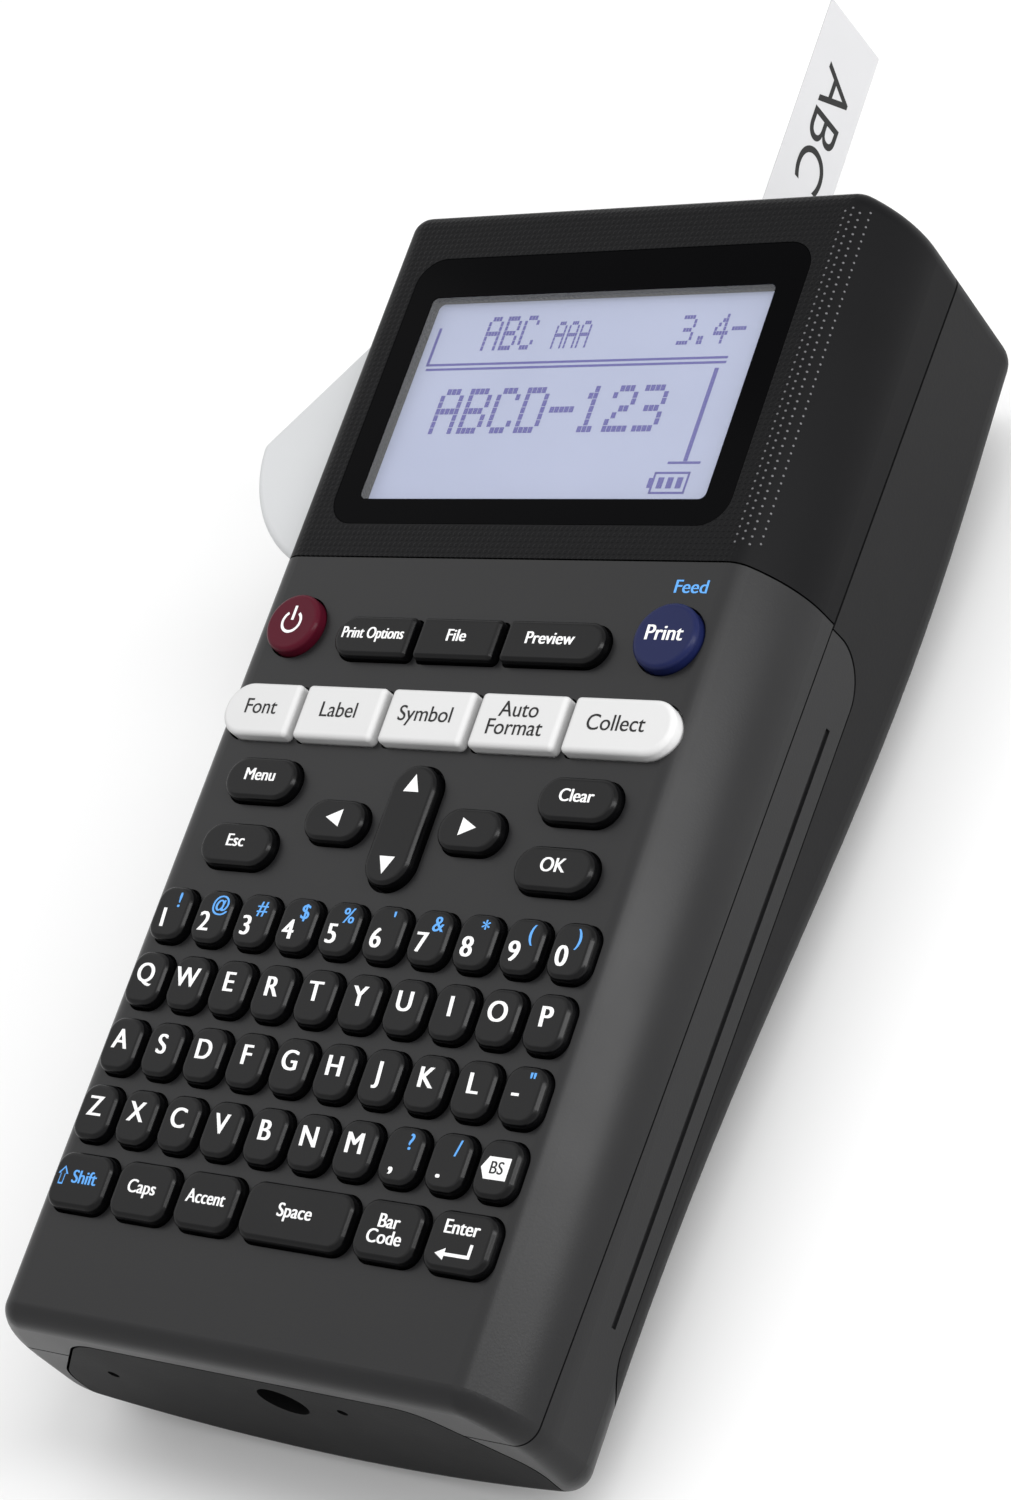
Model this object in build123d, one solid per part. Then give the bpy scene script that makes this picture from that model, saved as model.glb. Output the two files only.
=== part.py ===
"""Handheld label maker: case, keyboard, display, cutter lever, tape drive and cassette.

Sizes are in millimetres. Everything is drawn in the face frame: X to the right, Y towards the
head, Z out of the keyboard face, origin at the middle of the face. At export each piece is tilted
so that the feet stand on Z = 0.
"""
import math
import os

from build123d import *

# Body
HALF_WIDTH = 51.0
FOOT_END_Y = -97.0
FOOT_END_LEAN = 0.097
HEAD_END_Y = 104.5
HEAD_END_LEAN = 0.067
SHOULDER_R1 = 4.5
SHOULDER_R2 = 22.0
SHOULDER_TURN = 50.0
CROWN_R = 180.0
BACK_LINE = [(-112, -36.4), (-75, -37.2), (-40, -40.8), (-5, -46.5), (30, -51.8), (62, -54.0), (112, -54.2)]
BACK_EDGE_R = 7.0
END_EDGE_R = 3.5
WALL = 2.2
RAIL_WALL = 3.6

# Splits between the case pieces
SEAM_Y = 36.5
SEAM_GAP = 0.3
PART_Z = -17.0
PART_SLOPE = -0.058
RAIL_DEPTH = 11.3
RAIL_HEAD_Y = 35.6
RAIL_FOOT_Y = -87.5
RAIL_CORNER_R = 8.0
GROOVE_DROP = 7.1
GROOVE_WIDTH = 1.1
GROOVE_DEPTH = 0.5
PANEL_TOP_Z = -5.5
PANEL_TOP_HALF = 33.0
PANEL_SIDE_HALF = 46.0
PANEL_SIDE_Z = -20.0
PANEL_CORNER_R = 9.0
PANEL_Y = -95.2

# Keys
COLUMN_PITCH = 8.7
ROW_PITCH = 11.31
DIGIT_ROW_Y = -29.0
COLUMNS = 10
CHAR_KEY_W = 7.2
CHAR_KEY_H = 9.2
CHAR_KEY_R = 2.7
WIDE_KEY_GAP = 1.5
SPACE_KEY_W = 20.4
KEY_TOP = 2.0
KEY_EDGE_R = 0.9
KEY_CLEARANCE = 0.35
KEY_FLANGE = 0.4
KEY_FLANGE_T = 0.7
KEY_FLANGE_GAP = 0.2
KEY_FLANGE_REACH = 43.0

# Display
BEZEL_HALF_W = 39.4
BEZEL_Y0 = 42.8
BEZEL_Y1 = 94.0
BEZEL_R = 5.0
BEZEL_T = 1.2
BEZEL_CLEARANCE = 0.12
WINDOW_HALF_W = 34.4
WINDOW_Y0 = 47.4
WINDOW_Y1 = 86.4
WINDOW_R = 1.2

# Inner decks and boards
KEY_DECK_TOP = -10.5
KEY_DECK_T = 1.5
HEAD_DECK_TOP = -19.5
HEAD_DECK_T = 2.0
TUB_HALF_W = 47.8
TUB_WALL = 1.8
PLATE_T = 1.2
BOARD_T = 1.6
MAT_T = 1.0

# Cutter
PIVOT = (-40.0, 65.0)
LEVER_TOP = -7.0
LEVER_T = 8.0
LEVER_R = 27.5
PIN_R = 2.0
RUNNING_FIT = 0.05
CARRIAGE_TRAVEL = 9.0
CARRIAGE_Y = 97.6
CARRIAGE_PEG_R = 1.2

# Tape drive
TAPE_X = 2.6
TAPE_T = 0.2
TAPE_W = 18.0
TAPE_MID_Z = -37.6
TAPE_END_Y = 165.5
TAPE_GAP = 0.2
PLATEN_R = 5.0
PLATEN_Y = 88.5
GEAR_MODULE = 0.5
GEAR_PRESSURE = 25.0
GEAR_T = 2.4
GEAR_BACKLASH = 0.12
PLATEN_TEETH = 24
REDUCTION_TEETH = 40
PINION_TEETH = 16
REDUCTION_DIRECTION = -20.0
PINION_DIRECTION = -55.0
GEAR_CENTRE_SLACK = 0.06
SHAFT_R = 1.5
MOTOR_R = 9.0

# Feet and how the part stands
FOOT_R = 4.4
FOOT_X = 29.0
FOOT_CLEARANCE = 1.2
REAR_FOOT = (-91.0, -37.6)
COVER_FOOT = (40.0, -53.9)

TILT = math.degrees(math.atan2(REAR_FOOT[1] - COVER_FOOT[1], COVER_FOOT[0] - REAR_FOOT[0]))
# The origin is the middle of the right rear foot, where it stands on the table
REST = Rot(TILT, 0, 0) * Pos(-FOOT_X, -REAR_FOOT[0], -REAR_FOOT[1])


def block(x0, x1, y0, y1, z0, z1):
    """A box between two corners."""
    return Pos((x0 + x1) / 2, (y0 + y1) / 2, (z0 + z1) / 2) * Box(abs(x1 - x0), abs(y1 - y0), abs(z1 - z0))


def rod(x, y, r, z0, z1):
    """A round bar along Z."""
    return Pos(x, y, (z0 + z1) / 2) * Cylinder(r, abs(z1 - z0))


def side_prism(points, x0=-90.0, x1=90.0, corners=(), radius=0.0):
    """A prism along X from points given as (y, z); the listed corners are rounded."""
    face = make_face(Polyline(*points, close=True))
    if radius:
        picked = [v for v in face.vertices() if any(abs(v.X - y) + abs(v.Y - z) < 0.01 for y, z in corners)]
        face = fillet(picked, radius)
    return extrude(Plane.YZ.offset(x0) * face, x1 - x0)


def part_z(y):
    """Height of the parting line between the front and rear cases."""
    return PART_Z + PART_SLOPE * y


def body_profile(inset):
    """The face and both shoulders seen along the body, open far below."""
    turn = math.radians(SHOULDER_TURN)
    flat = HALF_WIDTH - SHOULDER_R1 * math.sin(turn) - SHOULDER_R2 * (1 - math.sin(turn))
    r1 = SHOULDER_R1 - inset
    r2 = SHOULDER_R2 - inset
    c1 = (flat, -SHOULDER_R1)
    c2 = (flat + (SHOULDER_R1 - SHOULDER_R2) * math.sin(turn),
          -SHOULDER_R1 + (SHOULDER_R1 - SHOULDER_R2) * math.cos(turn))

    def on(centre, r, angle):
        return (centre[0] + r * math.sin(angle), centre[1] + r * math.cos(angle))

    start = on(c1, r1, 0)
    first_mid = on(c1, r1, turn / 2)
    join = on(c1, r1, turn)
    second_mid = on(c2, r2, (turn + math.pi / 2) / 2)
    end = on(c2, r2, math.pi / 2)
    low = (end[0], -90)

    def mirrored(p):
        return (-p[0], p[1])

    return make_face([
        Line(mirrored(start), start),
        ThreePointArc(start, first_mid, join),
        ThreePointArc(join, second_mid, end),
        Line(end, low),
        Line(low, mirrored(low)),
        Line(mirrored(low), mirrored(end)),
        ThreePointArc(mirrored(end), mirrored(second_mid), mirrored(join)),
        ThreePointArc(mirrored(join), mirrored(first_mid), mirrored(start)),
    ])


def back_section(y, z, inset):
    """One crowned section of the back, closed well above the face."""
    reach = HALF_WIDTH + 15
    middle = z + inset
    edge = middle + reach ** 2 / (2 * CROWN_R)
    section = make_face([
        ThreePointArc((-reach, edge), (0, middle), (reach, edge)),
        Line((reach, edge), (reach, 20)),
        Line((reach, 20), (-reach, 20)),
        Line((-reach, 20), (-reach, edge)),
    ])
    return Plane.XZ.offset(-y) * section


def body(inset=0.0, end_inset=None):
    """The whole body, or the same body drawn inside it by the inset."""
    end = inset if end_inset is None else end_inset
    prism = extrude(Plane.XZ * body_profile(inset), 150, both=True)
    ends = side_prism([
        (FOOT_END_Y + FOOT_END_LEAN * 20 + end, 20),
        (FOOT_END_Y - FOOT_END_LEAN * 90 + end, -90),
        (HEAD_END_Y - HEAD_END_LEAN * 90 - end, -90),
        (HEAD_END_Y + HEAD_END_LEAN * 20 - end, 20),
    ])
    back = loft([back_section(y, z, inset) for y, z in BACK_LINE])
    solid = (prism & ends & back).solid()
    long_edges = [e for e in solid.edges() if e.length > 120 and e.center().Z < -20]
    if BACK_EDGE_R - inset > 0.5:
        solid = solid.fillet(BACK_EDGE_R - inset, long_edges)
    if END_EDGE_R - inset > 0.5:
        for axis_end in (0, -1):
            face = solid.faces().sort_by(Axis.Y)[axis_end]
            solid = solid.fillet(END_EDGE_R - inset, face.edges())
    return solid


def rail_zone(grow):
    """Prism of the side rails and the lower end ring, grown by a gap on its free edges."""
    low_head = (RAIL_HEAD_Y + grow, part_z(RAIL_HEAD_Y) - RAIL_DEPTH - grow)
    low_foot = (RAIL_FOOT_Y + grow, part_z(RAIL_FOOT_Y) - RAIL_DEPTH - grow)
    points = [
        (-130, 10),
        (RAIL_HEAD_Y + grow, 10),
        low_head,
        low_foot,
        (RAIL_FOOT_Y + grow, -80),
        (-130, -80),
    ]
    return side_prism(points, corners=[low_head, low_foot], radius=RAIL_CORNER_R)


def panel_zone(grow):
    """Prism of the lower end panel, grown by a gap."""
    face = make_face(Polyline(
        (-PANEL_TOP_HALF - grow, PANEL_TOP_Z + grow),
        (PANEL_TOP_HALF + grow, PANEL_TOP_Z + grow),
        (PANEL_SIDE_HALF + grow, PANEL_SIDE_Z + grow),
        (PANEL_SIDE_HALF + grow, -80),
        (-PANEL_SIDE_HALF - grow, -80),
        (-PANEL_SIDE_HALF - grow, PANEL_SIDE_Z + grow),
        close=True,
    ))
    top = [v for v in face.vertices() if v.Y > -70]
    face = fillet(top, PANEL_CORNER_R)
    return extrude(Plane.XZ.offset(-PANEL_Y - grow) * face, 40)


def above(gap):
    """Everything in front of the parting line."""
    return side_prism([(-130, part_z(-130) + gap), (130, part_z(130) + gap), (130, 30), (-130, 30)])


def below(gap):
    """Everything behind the parting line."""
    return side_prism([(-130, part_z(-130) - gap), (130, part_z(130) - gap), (130, -90), (-130, -90)])


outer = body()
inner = body(WALL)
rail_inner = body(RAIL_WALL, WALL)
shell = outer - inner
nodes = {}

# Key layout: name, outline, centre
key_shapes = {}


def key_outline(width, height, left_r, right_r):
    """A key seen from the front, with its own corner radius at each end."""
    face = Rectangle(width, height)
    for side, radius in ((-1, left_r), (1, right_r)):
        corners = [v for v in face.vertices() if v.X * side > width / 2 - 0.01]
        face = fillet(corners, min(radius, height / 2 - 0.02))
    return face


def add_key(name, x, y, outline):
    key_shapes.setdefault(name, []).append((x, y, outline))


char_outline = key_outline(CHAR_KEY_W, CHAR_KEY_H, CHAR_KEY_R, CHAR_KEY_R)
char_rows = ["digit_keys", "upper_letter_keys", "middle_letter_keys", "lower_letter_keys"]
for row, row_name in enumerate(char_rows):
    for column in range(COLUMNS):
        key_x = (column - (COLUMNS - 1) / 2) * COLUMN_PITCH
        add_key(row_name, key_x, DIGIT_ROW_Y - row * ROW_PITCH, char_outline)

row_width = (COLUMNS - 1) * COLUMN_PITCH + CHAR_KEY_W
wide_key_w = (row_width - SPACE_KEY_W - 5 * WIDE_KEY_GAP) / 5
bottom_row_y = DIGIT_ROW_Y - len(char_rows) * ROW_PITCH
left_edge = -row_width / 2
for name in ("shift_key", "caps_key", "accent_key", "space_key", "bar_code_key", "enter_key"):
    width = SPACE_KEY_W if name == "space_key" else wide_key_w
    add_key(name, left_edge + width / 2, bottom_row_y, key_outline(width, CHAR_KEY_H, CHAR_KEY_R, CHAR_KEY_R))
    left_edge += width + WIDE_KEY_GAP


def add_key_strip(names, splits, y, height, end_r, gap):
    """A row of keys side by side whose two outer ends are rounded."""
    for index, name in enumerate(names):
        x0 = splits[index] + (gap / 2 if index else 0)
        x1 = splits[index + 1] - (gap / 2 if index < len(names) - 1 else 0)
        left_r = end_r if index == 0 else 0.8
        right_r = end_r if index == len(names) - 1 else 0.8
        add_key(name, (x0 + x1) / 2, y, key_outline(x1 - x0, height, left_r, right_r))


add_key_strip(["font_key", "label_key", "symbol_key", "format_key", "collection_key"],
              [-44.2, -28.9, -11.4, 6.4, 24.2, 44.2], 7.4, 9.4, 4.6, 1.4)
add_key_strip(["print_options_key", "file_key", "preview_key"],
              [-26.8, -10.6, 6.6, 26.4], 21.2, 7.2, 3.5, 1.4)
pill_outline = key_outline(14.4, 7.4, 3.6, 3.6)
add_key("menu_key", -31.2, -4.8, pill_outline)
add_key("escape_key", -31.2, -16.4, pill_outline)
add_key("clear_key", 31.2, -5.0, pill_outline)
add_key("ok_key", 31.2, -16.4, pill_outline)
arrow_outline = key_outline(11.8, 7.2, 3.5, 3.5)
add_key("left_key", -13.3, -11.1, arrow_outline)
add_key("right_key", 13.3, -11.1, arrow_outline)
add_key("power_key", -36.8, 23.2, Circle(5.3))
add_key("print_key", 37.0, 22.8, Circle(5.7))
ROCKER = (0.0, -11.1, 8.6, 20.6)
ROCKER_CLEARANCE = 0.55
ROCKER_RIB_R = 1.5
rocker_outline = key_outline(ROCKER[2], ROCKER[3], 4.25, 4.25)

key_flange_top = -WALL - KEY_FLANGE_GAP
key_foot = key_flange_top - KEY_FLANGE_T


def key_solid(x, y, outline, flange=True):
    cap = extrude(Pos(0, 0, key_foot) * outline, KEY_TOP - key_foot)
    top_edges = cap.faces().sort_by(Axis.Z)[-1].edges()
    cap = fillet(top_edges, KEY_EDGE_R)
    cap = Pos(x, y, 0) * cap
    if flange:
        rim = extrude(Pos(x, y, key_foot) * offset(outline, KEY_FLANGE), KEY_FLANGE_T)
        cap += rim & block(-KEY_FLANGE_REACH, KEY_FLANGE_REACH, y - 20, y + 20, -10, 10)
    return cap


for name, shapes in key_shapes.items():
    nodes[name] = [key_solid(x, y, outline) for x, y, outline in shapes]
rocker = key_solid(ROCKER[0], ROCKER[1], rocker_outline, flange=False)
rocker += Pos(ROCKER[0], ROCKER[1], -WALL) * Rot(0, 90, 0) * Cylinder(ROCKER_RIB_R, ROCKER[2] - 1.0)
nodes["up_down_key"] = [rocker]

key_holes = []
for shapes in key_shapes.values():
    for x, y, outline in shapes:
        key_holes.append(Pos(x, y, -4) * extrude(offset(outline, KEY_CLEARANCE), 8))
key_holes.append(Pos(ROCKER[0], ROCKER[1], -4) * extrude(offset(rocker_outline, ROCKER_CLEARANCE), 8))

# Front case: the keyboard half of the front
front_posts = [(sx * 43.0, y) for sx in (-1, 1) for y in (-88.0, 31.0)]
POST_R = 2.6
SCREW_R = 1.1
SCREW_PILOT = 7.0
# The posts run a little way into the wall and stay under the curved shoulder
post_top = -0.8 * WALL
gap_half = SEAM_GAP / 2
front_case = shell & above(gap_half) & block(-90, 90, -130, SEAM_Y - gap_half, -60, 30)
front_case = front_case - key_holes - panel_zone(SEAM_GAP)
for x, y in front_posts:
    post = rod(x, y, POST_R, KEY_DECK_TOP, post_top)
    front_case += post - rod(x, y, SCREW_R, KEY_DECK_TOP - 1, KEY_DECK_TOP + SCREW_PILOT)
nodes["front_case"] = [front_case]

# Display cover, bezel, window and display
head_posts = [(-43.0, 93.4), (43.0, 95.0), (43.0, 42.0)]
lever_bottom = LEVER_TOP - LEVER_T
slot_gap = 0.5
bezel_mid = (BEZEL_Y0 + BEZEL_Y1) / 2
bezel_face = Pos(0, bezel_mid) * RectangleRounded(2 * BEZEL_HALF_W, BEZEL_Y1 - BEZEL_Y0, BEZEL_R)
window_mid = (WINDOW_Y0 + WINDOW_Y1) / 2
window_face = Pos(0, window_mid) * RectangleRounded(2 * WINDOW_HALF_W, WINDOW_Y1 - WINDOW_Y0, WINDOW_R)
display_cover = shell & above(gap_half) & block(-90, 90, SEAM_Y + gap_half, 130, -60, 30)
display_cover -= extrude(Pos(0, 0, -BEZEL_T) * offset(bezel_face, BEZEL_CLEARANCE), BEZEL_T + 5)
display_cover -= extrude(Pos(0, 0, -5) * window_face, 10)
display_cover -= block(-60, -44, 37.4, 87.0, lever_bottom - slot_gap, LEVER_TOP + slot_gap)
for x, y in head_posts:
    post = rod(x, y, POST_R, HEAD_DECK_TOP, post_top)
    display_cover += post - rod(x, y, SCREW_R, HEAD_DECK_TOP - 1, HEAD_DECK_TOP + SCREW_PILOT)
pin_top = -3.0
PIN_BOSS_R = 3.2
display_cover += rod(*PIVOT, PIN_BOSS_R, LEVER_TOP + 0.3, -BEZEL_T - 0.4) - rod(*PIVOT, PIN_R, LEVER_TOP - 1, pin_top)
nodes["display_cover"] = [display_cover]
nodes["display_bezel"] = [extrude(Pos(0, 0, -BEZEL_T) * (bezel_face - window_face), BEZEL_T - 0.05)]
pane_face = offset(window_face, -BEZEL_CLEARANCE)
nodes["display_window"] = [extrude(Pos(0, 0, -BEZEL_T) * pane_face, BEZEL_T - 0.1)]
lcd_top = -WALL - 0.1
nodes["lcd_panel"] = [block(-36.2, 36.2, 45.6, 88.2, lcd_top - 3.9, lcd_top)]

# Rear case: side rails, lower end ring, tub walls and both decks
key_deck_low = KEY_DECK_TOP - KEY_DECK_T
head_deck_low = HEAD_DECK_TOP - HEAD_DECK_T
rails = (outer - rail_inner) & below(gap_half) & rail_zone(0)
rails -= panel_zone(SEAM_GAP)
for side in (-1, 1):
    groove = side_prism([
        (-77, part_z(-77) - GROOVE_DROP),
        (22, part_z(22) - GROOVE_DROP),
        (22, part_z(22) - GROOVE_DROP - GROOVE_WIDTH),
        (-77, part_z(-77) - GROOVE_DROP - GROOVE_WIDTH),
    ], HALF_WIDTH - GROOVE_DEPTH, HALF_WIDTH + 2)
    rails -= groove if side > 0 else mirror(groove, Plane.YZ)
TUB_Y0 = -93.5
TUB_Y1 = 35.4
tub = block(-TUB_HALF_W, TUB_HALF_W, TUB_Y0, TUB_Y1, key_deck_low, KEY_DECK_TOP)
for side in (-1, 1):
    tub += block(side * TUB_HALF_W, side * (TUB_HALF_W - TUB_WALL), TUB_Y0, TUB_Y1, -22.5, KEY_DECK_TOP)
tub += block(-TUB_HALF_W, TUB_HALF_W, TUB_Y1 - TUB_WALL, TUB_Y1, head_deck_low, KEY_DECK_TOP)
tub += block(-TUB_HALF_W, TUB_HALF_W, TUB_Y1 - TUB_WALL, 99.0, head_deck_low, HEAD_DECK_TOP)
BOARD_LOW = KEY_DECK_TOP + 3.5
for x, y in [(sx * 36.0, y) for sx in (-1, 1) for y in (-84.0, 24.0)]:
    tub += rod(x, y, 2.5, key_deck_low, BOARD_LOW)
JACK_X = 4.0
JACK_Z = -12.5
JACK_HALF = 4.6
JACK_DEPTH = 13.0
JACK_BORE_R = 2.9
JACK_BORE_LENGTH = 9.5
jack_front = PANEL_Y - 0.1
jack_room = block(JACK_X - JACK_HALF - 0.3, JACK_X + JACK_HALF + 0.3, jack_front - 5, jack_front + JACK_DEPTH + 0.3,
                  JACK_Z - JACK_HALF - 0.3, JACK_Z + JACK_HALF + 0.3)
tub -= jack_room
rails -= jack_room
screw_clearance = SCREW_R + 0.3
for x, y in front_posts:
    tub -= rod(x, y, screw_clearance, -30, 0)
for x, y in head_posts:
    tub -= rod(x, y, screw_clearance, -30, 0)
HUB_R = 4.0
HUB_HOLE_R = 4.5
tub -= rod(*PIVOT, HUB_HOLE_R, -30, 0)

# Gear centres
gear_r = {name: teeth * GEAR_MODULE / 2 for name, teeth in
          (("platen", PLATEN_TEETH), ("reduction", REDUCTION_TEETH), ("pinion", PINION_TEETH))}


def polar(centre, distance, degrees):
    angle = math.radians(degrees)
    return (centre[0] + distance * math.cos(angle), centre[1] + distance * math.sin(angle))


platen_at = (TAPE_X + TAPE_T / 2 + TAPE_GAP + PLATEN_R, PLATEN_Y)
reduction_at = polar(platen_at, gear_r["platen"] + gear_r["reduction"] + GEAR_CENTRE_SLACK, REDUCTION_DIRECTION)
pinion_at = polar(reduction_at, gear_r["reduction"] + gear_r["pinion"] + GEAR_CENTRE_SLACK, PINION_DIRECTION)
MOTOR_SHAFT_R = 1.0
tub -= rod(*pinion_at, 2.2, -30, 0)
tub -= rod(*platen_at, SHAFT_R + 0.6, -30, 0)
nodes["rear_case"] = [rails + tub]

# Lower end panel with the power jack
panel = shell & panel_zone(0)
panel -= Pos(JACK_X, 0, JACK_Z) * Rot(90, 0, 0) * Cylinder(4.2, 260)
for x, z, r in ((15.7, -12.0, 0.9), (-33.0, -16.0, 1.0)):
    panel -= Pos(x, FOOT_END_Y + FOOT_END_LEAN * z, z) * Rot(90, 0, 0) * Cylinder(r, 2.0)
nodes["end_panel"] = [panel]
jack = block(JACK_X - JACK_HALF, JACK_X + JACK_HALF, jack_front + 0.2, jack_front + JACK_DEPTH,
             JACK_Z - JACK_HALF, JACK_Z + JACK_HALF)
jack -= outer - inner
jack_bore_mid = jack_front + 0.2 + JACK_BORE_LENGTH / 2
jack -= Pos(JACK_X, jack_bore_mid, JACK_Z) * Rot(90, 0, 0) * Cylinder(JACK_BORE_R, JACK_BORE_LENGTH)
nodes["power_jack"] = [jack]

# Back cover, cut round the tape at the head end
COVER_GAP = 0.3
SLOT_HALF = 1.6
tape_top = TAPE_MID_Z + TAPE_W / 2
tape_low = TAPE_MID_Z - TAPE_W / 2
back_cover = (shell & below(gap_half + COVER_GAP / 2)) - rail_zone(COVER_GAP)
back_cover -= block(TAPE_X - SLOT_HALF, TAPE_X + SLOT_HALF, 95, 115, tape_low - 0.8, 0)


def foot(x, y, z):
    """A foot square to the table, trimmed to the case above it."""
    at = REST * Pos(x, y, z)
    upright = Pos(at.position.X, at.position.Y, 4.0) * Cylinder(FOOT_R, 8.0)
    trimmed = (REST.inverse() * upright) - outer
    return trimmed.solids().sort_by(Axis.Z)[0]


for side in (-1, 1):
    back_cover -= rod(side * FOOT_X, REAR_FOOT[0], FOOT_R + FOOT_CLEARANCE, -60, 0)
nodes["back_cover"] = [back_cover]
nodes["rear_feet"] = [foot(sx * FOOT_X, *REAR_FOOT) for sx in (-1, 1)]
nodes["cover_feet"] = [foot(sx * FOOT_X, *COVER_FOOT) for sx in (-1, 1)]

# Boards and battery
board_top = BOARD_LOW + BOARD_T
board = block(-40, 40, -91, 29.5, BOARD_LOW, board_top)
nodes["main_board"] = [board]
nodes["keypad_mat"] = [block(-40, 40, -83, 29.0, board_top, board_top + MAT_T)]
BATTERY = (-34.0, 34.0, -80.0, -22.0, key_deck_low - 17.0, key_deck_low)
battery = block(*BATTERY)
nodes["battery_pack"] = [fillet(battery.edges().filter_by(Axis.Y), 4.0)]
contact_y = BATTERY[3] + 0.2
nodes["battery_contacts"] = [block(x - 3, x + 3, contact_y, contact_y + 1.2, key_deck_low - 9, key_deck_low)
                             for x in (-14.0, 0.0, 14.0)]


def screw(x, y, deck_low, deck_top):
    """A pan-head screw driven from behind."""
    shank = rod(x, y, SCREW_R, deck_low, deck_top + SCREW_PILOT - 0.5)
    return shank + rod(x, y, 2.3, deck_low - 1.4, deck_low)


plate_low = head_deck_low - PLATE_T
nodes["case_screws"] = [screw(x, y, key_deck_low, KEY_DECK_TOP) for x, y in front_posts]
nodes["case_screws"] += [screw(x, y, plate_low, HEAD_DECK_TOP) for x, y in head_posts]

# Print mechanism plate
plate = block(-TUB_HALF_W + 0.4, TUB_HALF_W - 0.4, 38.0, 99.0, plate_low, head_deck_low)
plate -= rod(*PIVOT, HUB_HOLE_R, -30, 0)
plate -= rod(*pinion_at, 2.2, -30, 0)
plate -= rod(*platen_at, SHAFT_R + RUNNING_FIT, -30, 0)
for x, y in head_posts:
    plate -= rod(x, y, screw_clearance, -30, 0)


# Gears
def gear_face(teeth, turn):
    """An involute gear outline with its first tooth centred at the given turn in degrees."""
    pitch_r = teeth * GEAR_MODULE / 2
    pressure = math.radians(GEAR_PRESSURE)
    base_r = pitch_r * math.cos(pressure)
    tip_r = pitch_r + 0.8 * GEAR_MODULE
    root_r = pitch_r - 1.1 * GEAR_MODULE
    half_tooth = math.pi / (2 * teeth) - GEAR_BACKLASH / (2 * pitch_r)
    pitch_spread = math.tan(pressure) - pressure

    def half_angle(r):
        unwound = math.acos(min(1.0, base_r / r))
        return half_tooth + pitch_spread - (math.tan(unwound) - unwound)

    low_r = max(root_r, base_r)
    radii = [low_r + (tip_r - low_r) * i / 4 for i in range(5)]
    edges = []
    step = 2 * math.pi / teeth
    first = None
    last = None
    for tooth in range(teeth):
        middle = math.radians(turn) + tooth * step
        rising = [(r * math.cos(middle - half_angle(r)), r * math.sin(middle - half_angle(r))) for r in radii]
        falling = [(r * math.cos(middle + half_angle(r)), r * math.sin(middle + half_angle(r)))
                   for r in reversed(radii)]
        foot_angle = half_angle(low_r)
        rise_foot = (root_r * math.cos(middle - foot_angle), root_r * math.sin(middle - foot_angle))
        fall_foot = (root_r * math.cos(middle + foot_angle), root_r * math.sin(middle + foot_angle))
        if last is None:
            first = rise_foot
        else:
            edges.append(Line(last, rise_foot))
        if low_r > root_r:
            edges.append(Line(rise_foot, rising[0]))
        edges.append(Spline(*rising))
        edges.append(Line(rising[-1], falling[0]))
        edges.append(Spline(*falling))
        if low_r > root_r:
            edges.append(Line(falling[-1], fall_foot))
        last = fall_foot
    edges.append(Line(last, first))
    return make_face(edges)


gear_top = plate_low - 0.2
gear_low = gear_top - GEAR_T


def gear(centre, teeth, turn):
    return Pos(centre[0], centre[1], gear_low) * extrude(gear_face(teeth, turn), GEAR_T)


platen_turn = REDUCTION_DIRECTION
reduction_turn = REDUCTION_DIRECTION + 180 + 180 / REDUCTION_TEETH
pinion_turn = (PINION_DIRECTION + 180 + 180 / PINION_TEETH
               - (reduction_turn - PINION_DIRECTION) * REDUCTION_TEETH / PINION_TEETH)
holder_low = tape_low - 3.6
holder_top = tape_low - 2.0
platen_gear = gear(platen_at, PLATEN_TEETH, platen_turn)
platen_gear += rod(*platen_at, SHAFT_R, holder_low + 0.2, head_deck_low - 0.2)
nodes["platen_gear"] = [platen_gear]
roller = rod(*platen_at, PLATEN_R, tape_low, tape_top) - rod(*platen_at, SHAFT_R, tape_low - 1, tape_top + 1)
nodes["platen_roller"] = [roller]
reduction = gear(reduction_at, REDUCTION_TEETH, reduction_turn)
reduction -= rod(*reduction_at, SHAFT_R + RUNNING_FIT, -40, 0)
nodes["reduction_gear"] = [reduction]
plate += rod(*reduction_at, SHAFT_R, gear_low - 0.6, plate_low)
motor_low = HEAD_DECK_TOP
motor_top = motor_low + 10.0
motor = rod(*pinion_at, MOTOR_R, motor_low, motor_top)
motor -= rod(*pinion_at, MOTOR_SHAFT_R + RUNNING_FIT, motor_low - 1, motor_low + 6.0)
nodes["drive_motor"] = [motor]
pinion = gear(pinion_at, PINION_TEETH, pinion_turn) + rod(*pinion_at, MOTOR_SHAFT_R, gear_low, motor_low + 5.5)
nodes["motor_pinion"] = [pinion]

# Print head, and the platen holder that is bent out of the mechanism plate
head_x1 = TAPE_X - TAPE_T / 2 - TAPE_GAP
head_y0 = PLATEN_Y - 5.0
head_y1 = PLATEN_Y + 5.0
sink = block(head_x1 - 5.2, head_x1 - 1.2, head_y0, head_y1, tape_low, plate_low)
for index in range(3):
    fin_y = head_y0 + 2.2 + index * 2.8
    sink -= block(head_x1 - 6, head_x1 - 3.4, fin_y - 0.7, fin_y + 0.7, tape_low - 1, plate_low - 2)
nodes["print_head"] = [sink + block(head_x1 - 1.2, head_x1, head_y0, head_y1, tape_low, gear_low - 0.4)]
POST_Y0 = 94.4
POST_Y1 = 96.2
holder = block(14.0, 18.0, POST_Y0, POST_Y1, holder_low, plate_low)
holder += block(platen_at[0] - 2.6, 18.0, PLATEN_Y - 2.6, POST_Y1, holder_low, holder_top)
holder -= rod(*platen_at, SHAFT_R + RUNNING_FIT, holder_low - 1, holder_top + 1)
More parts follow.
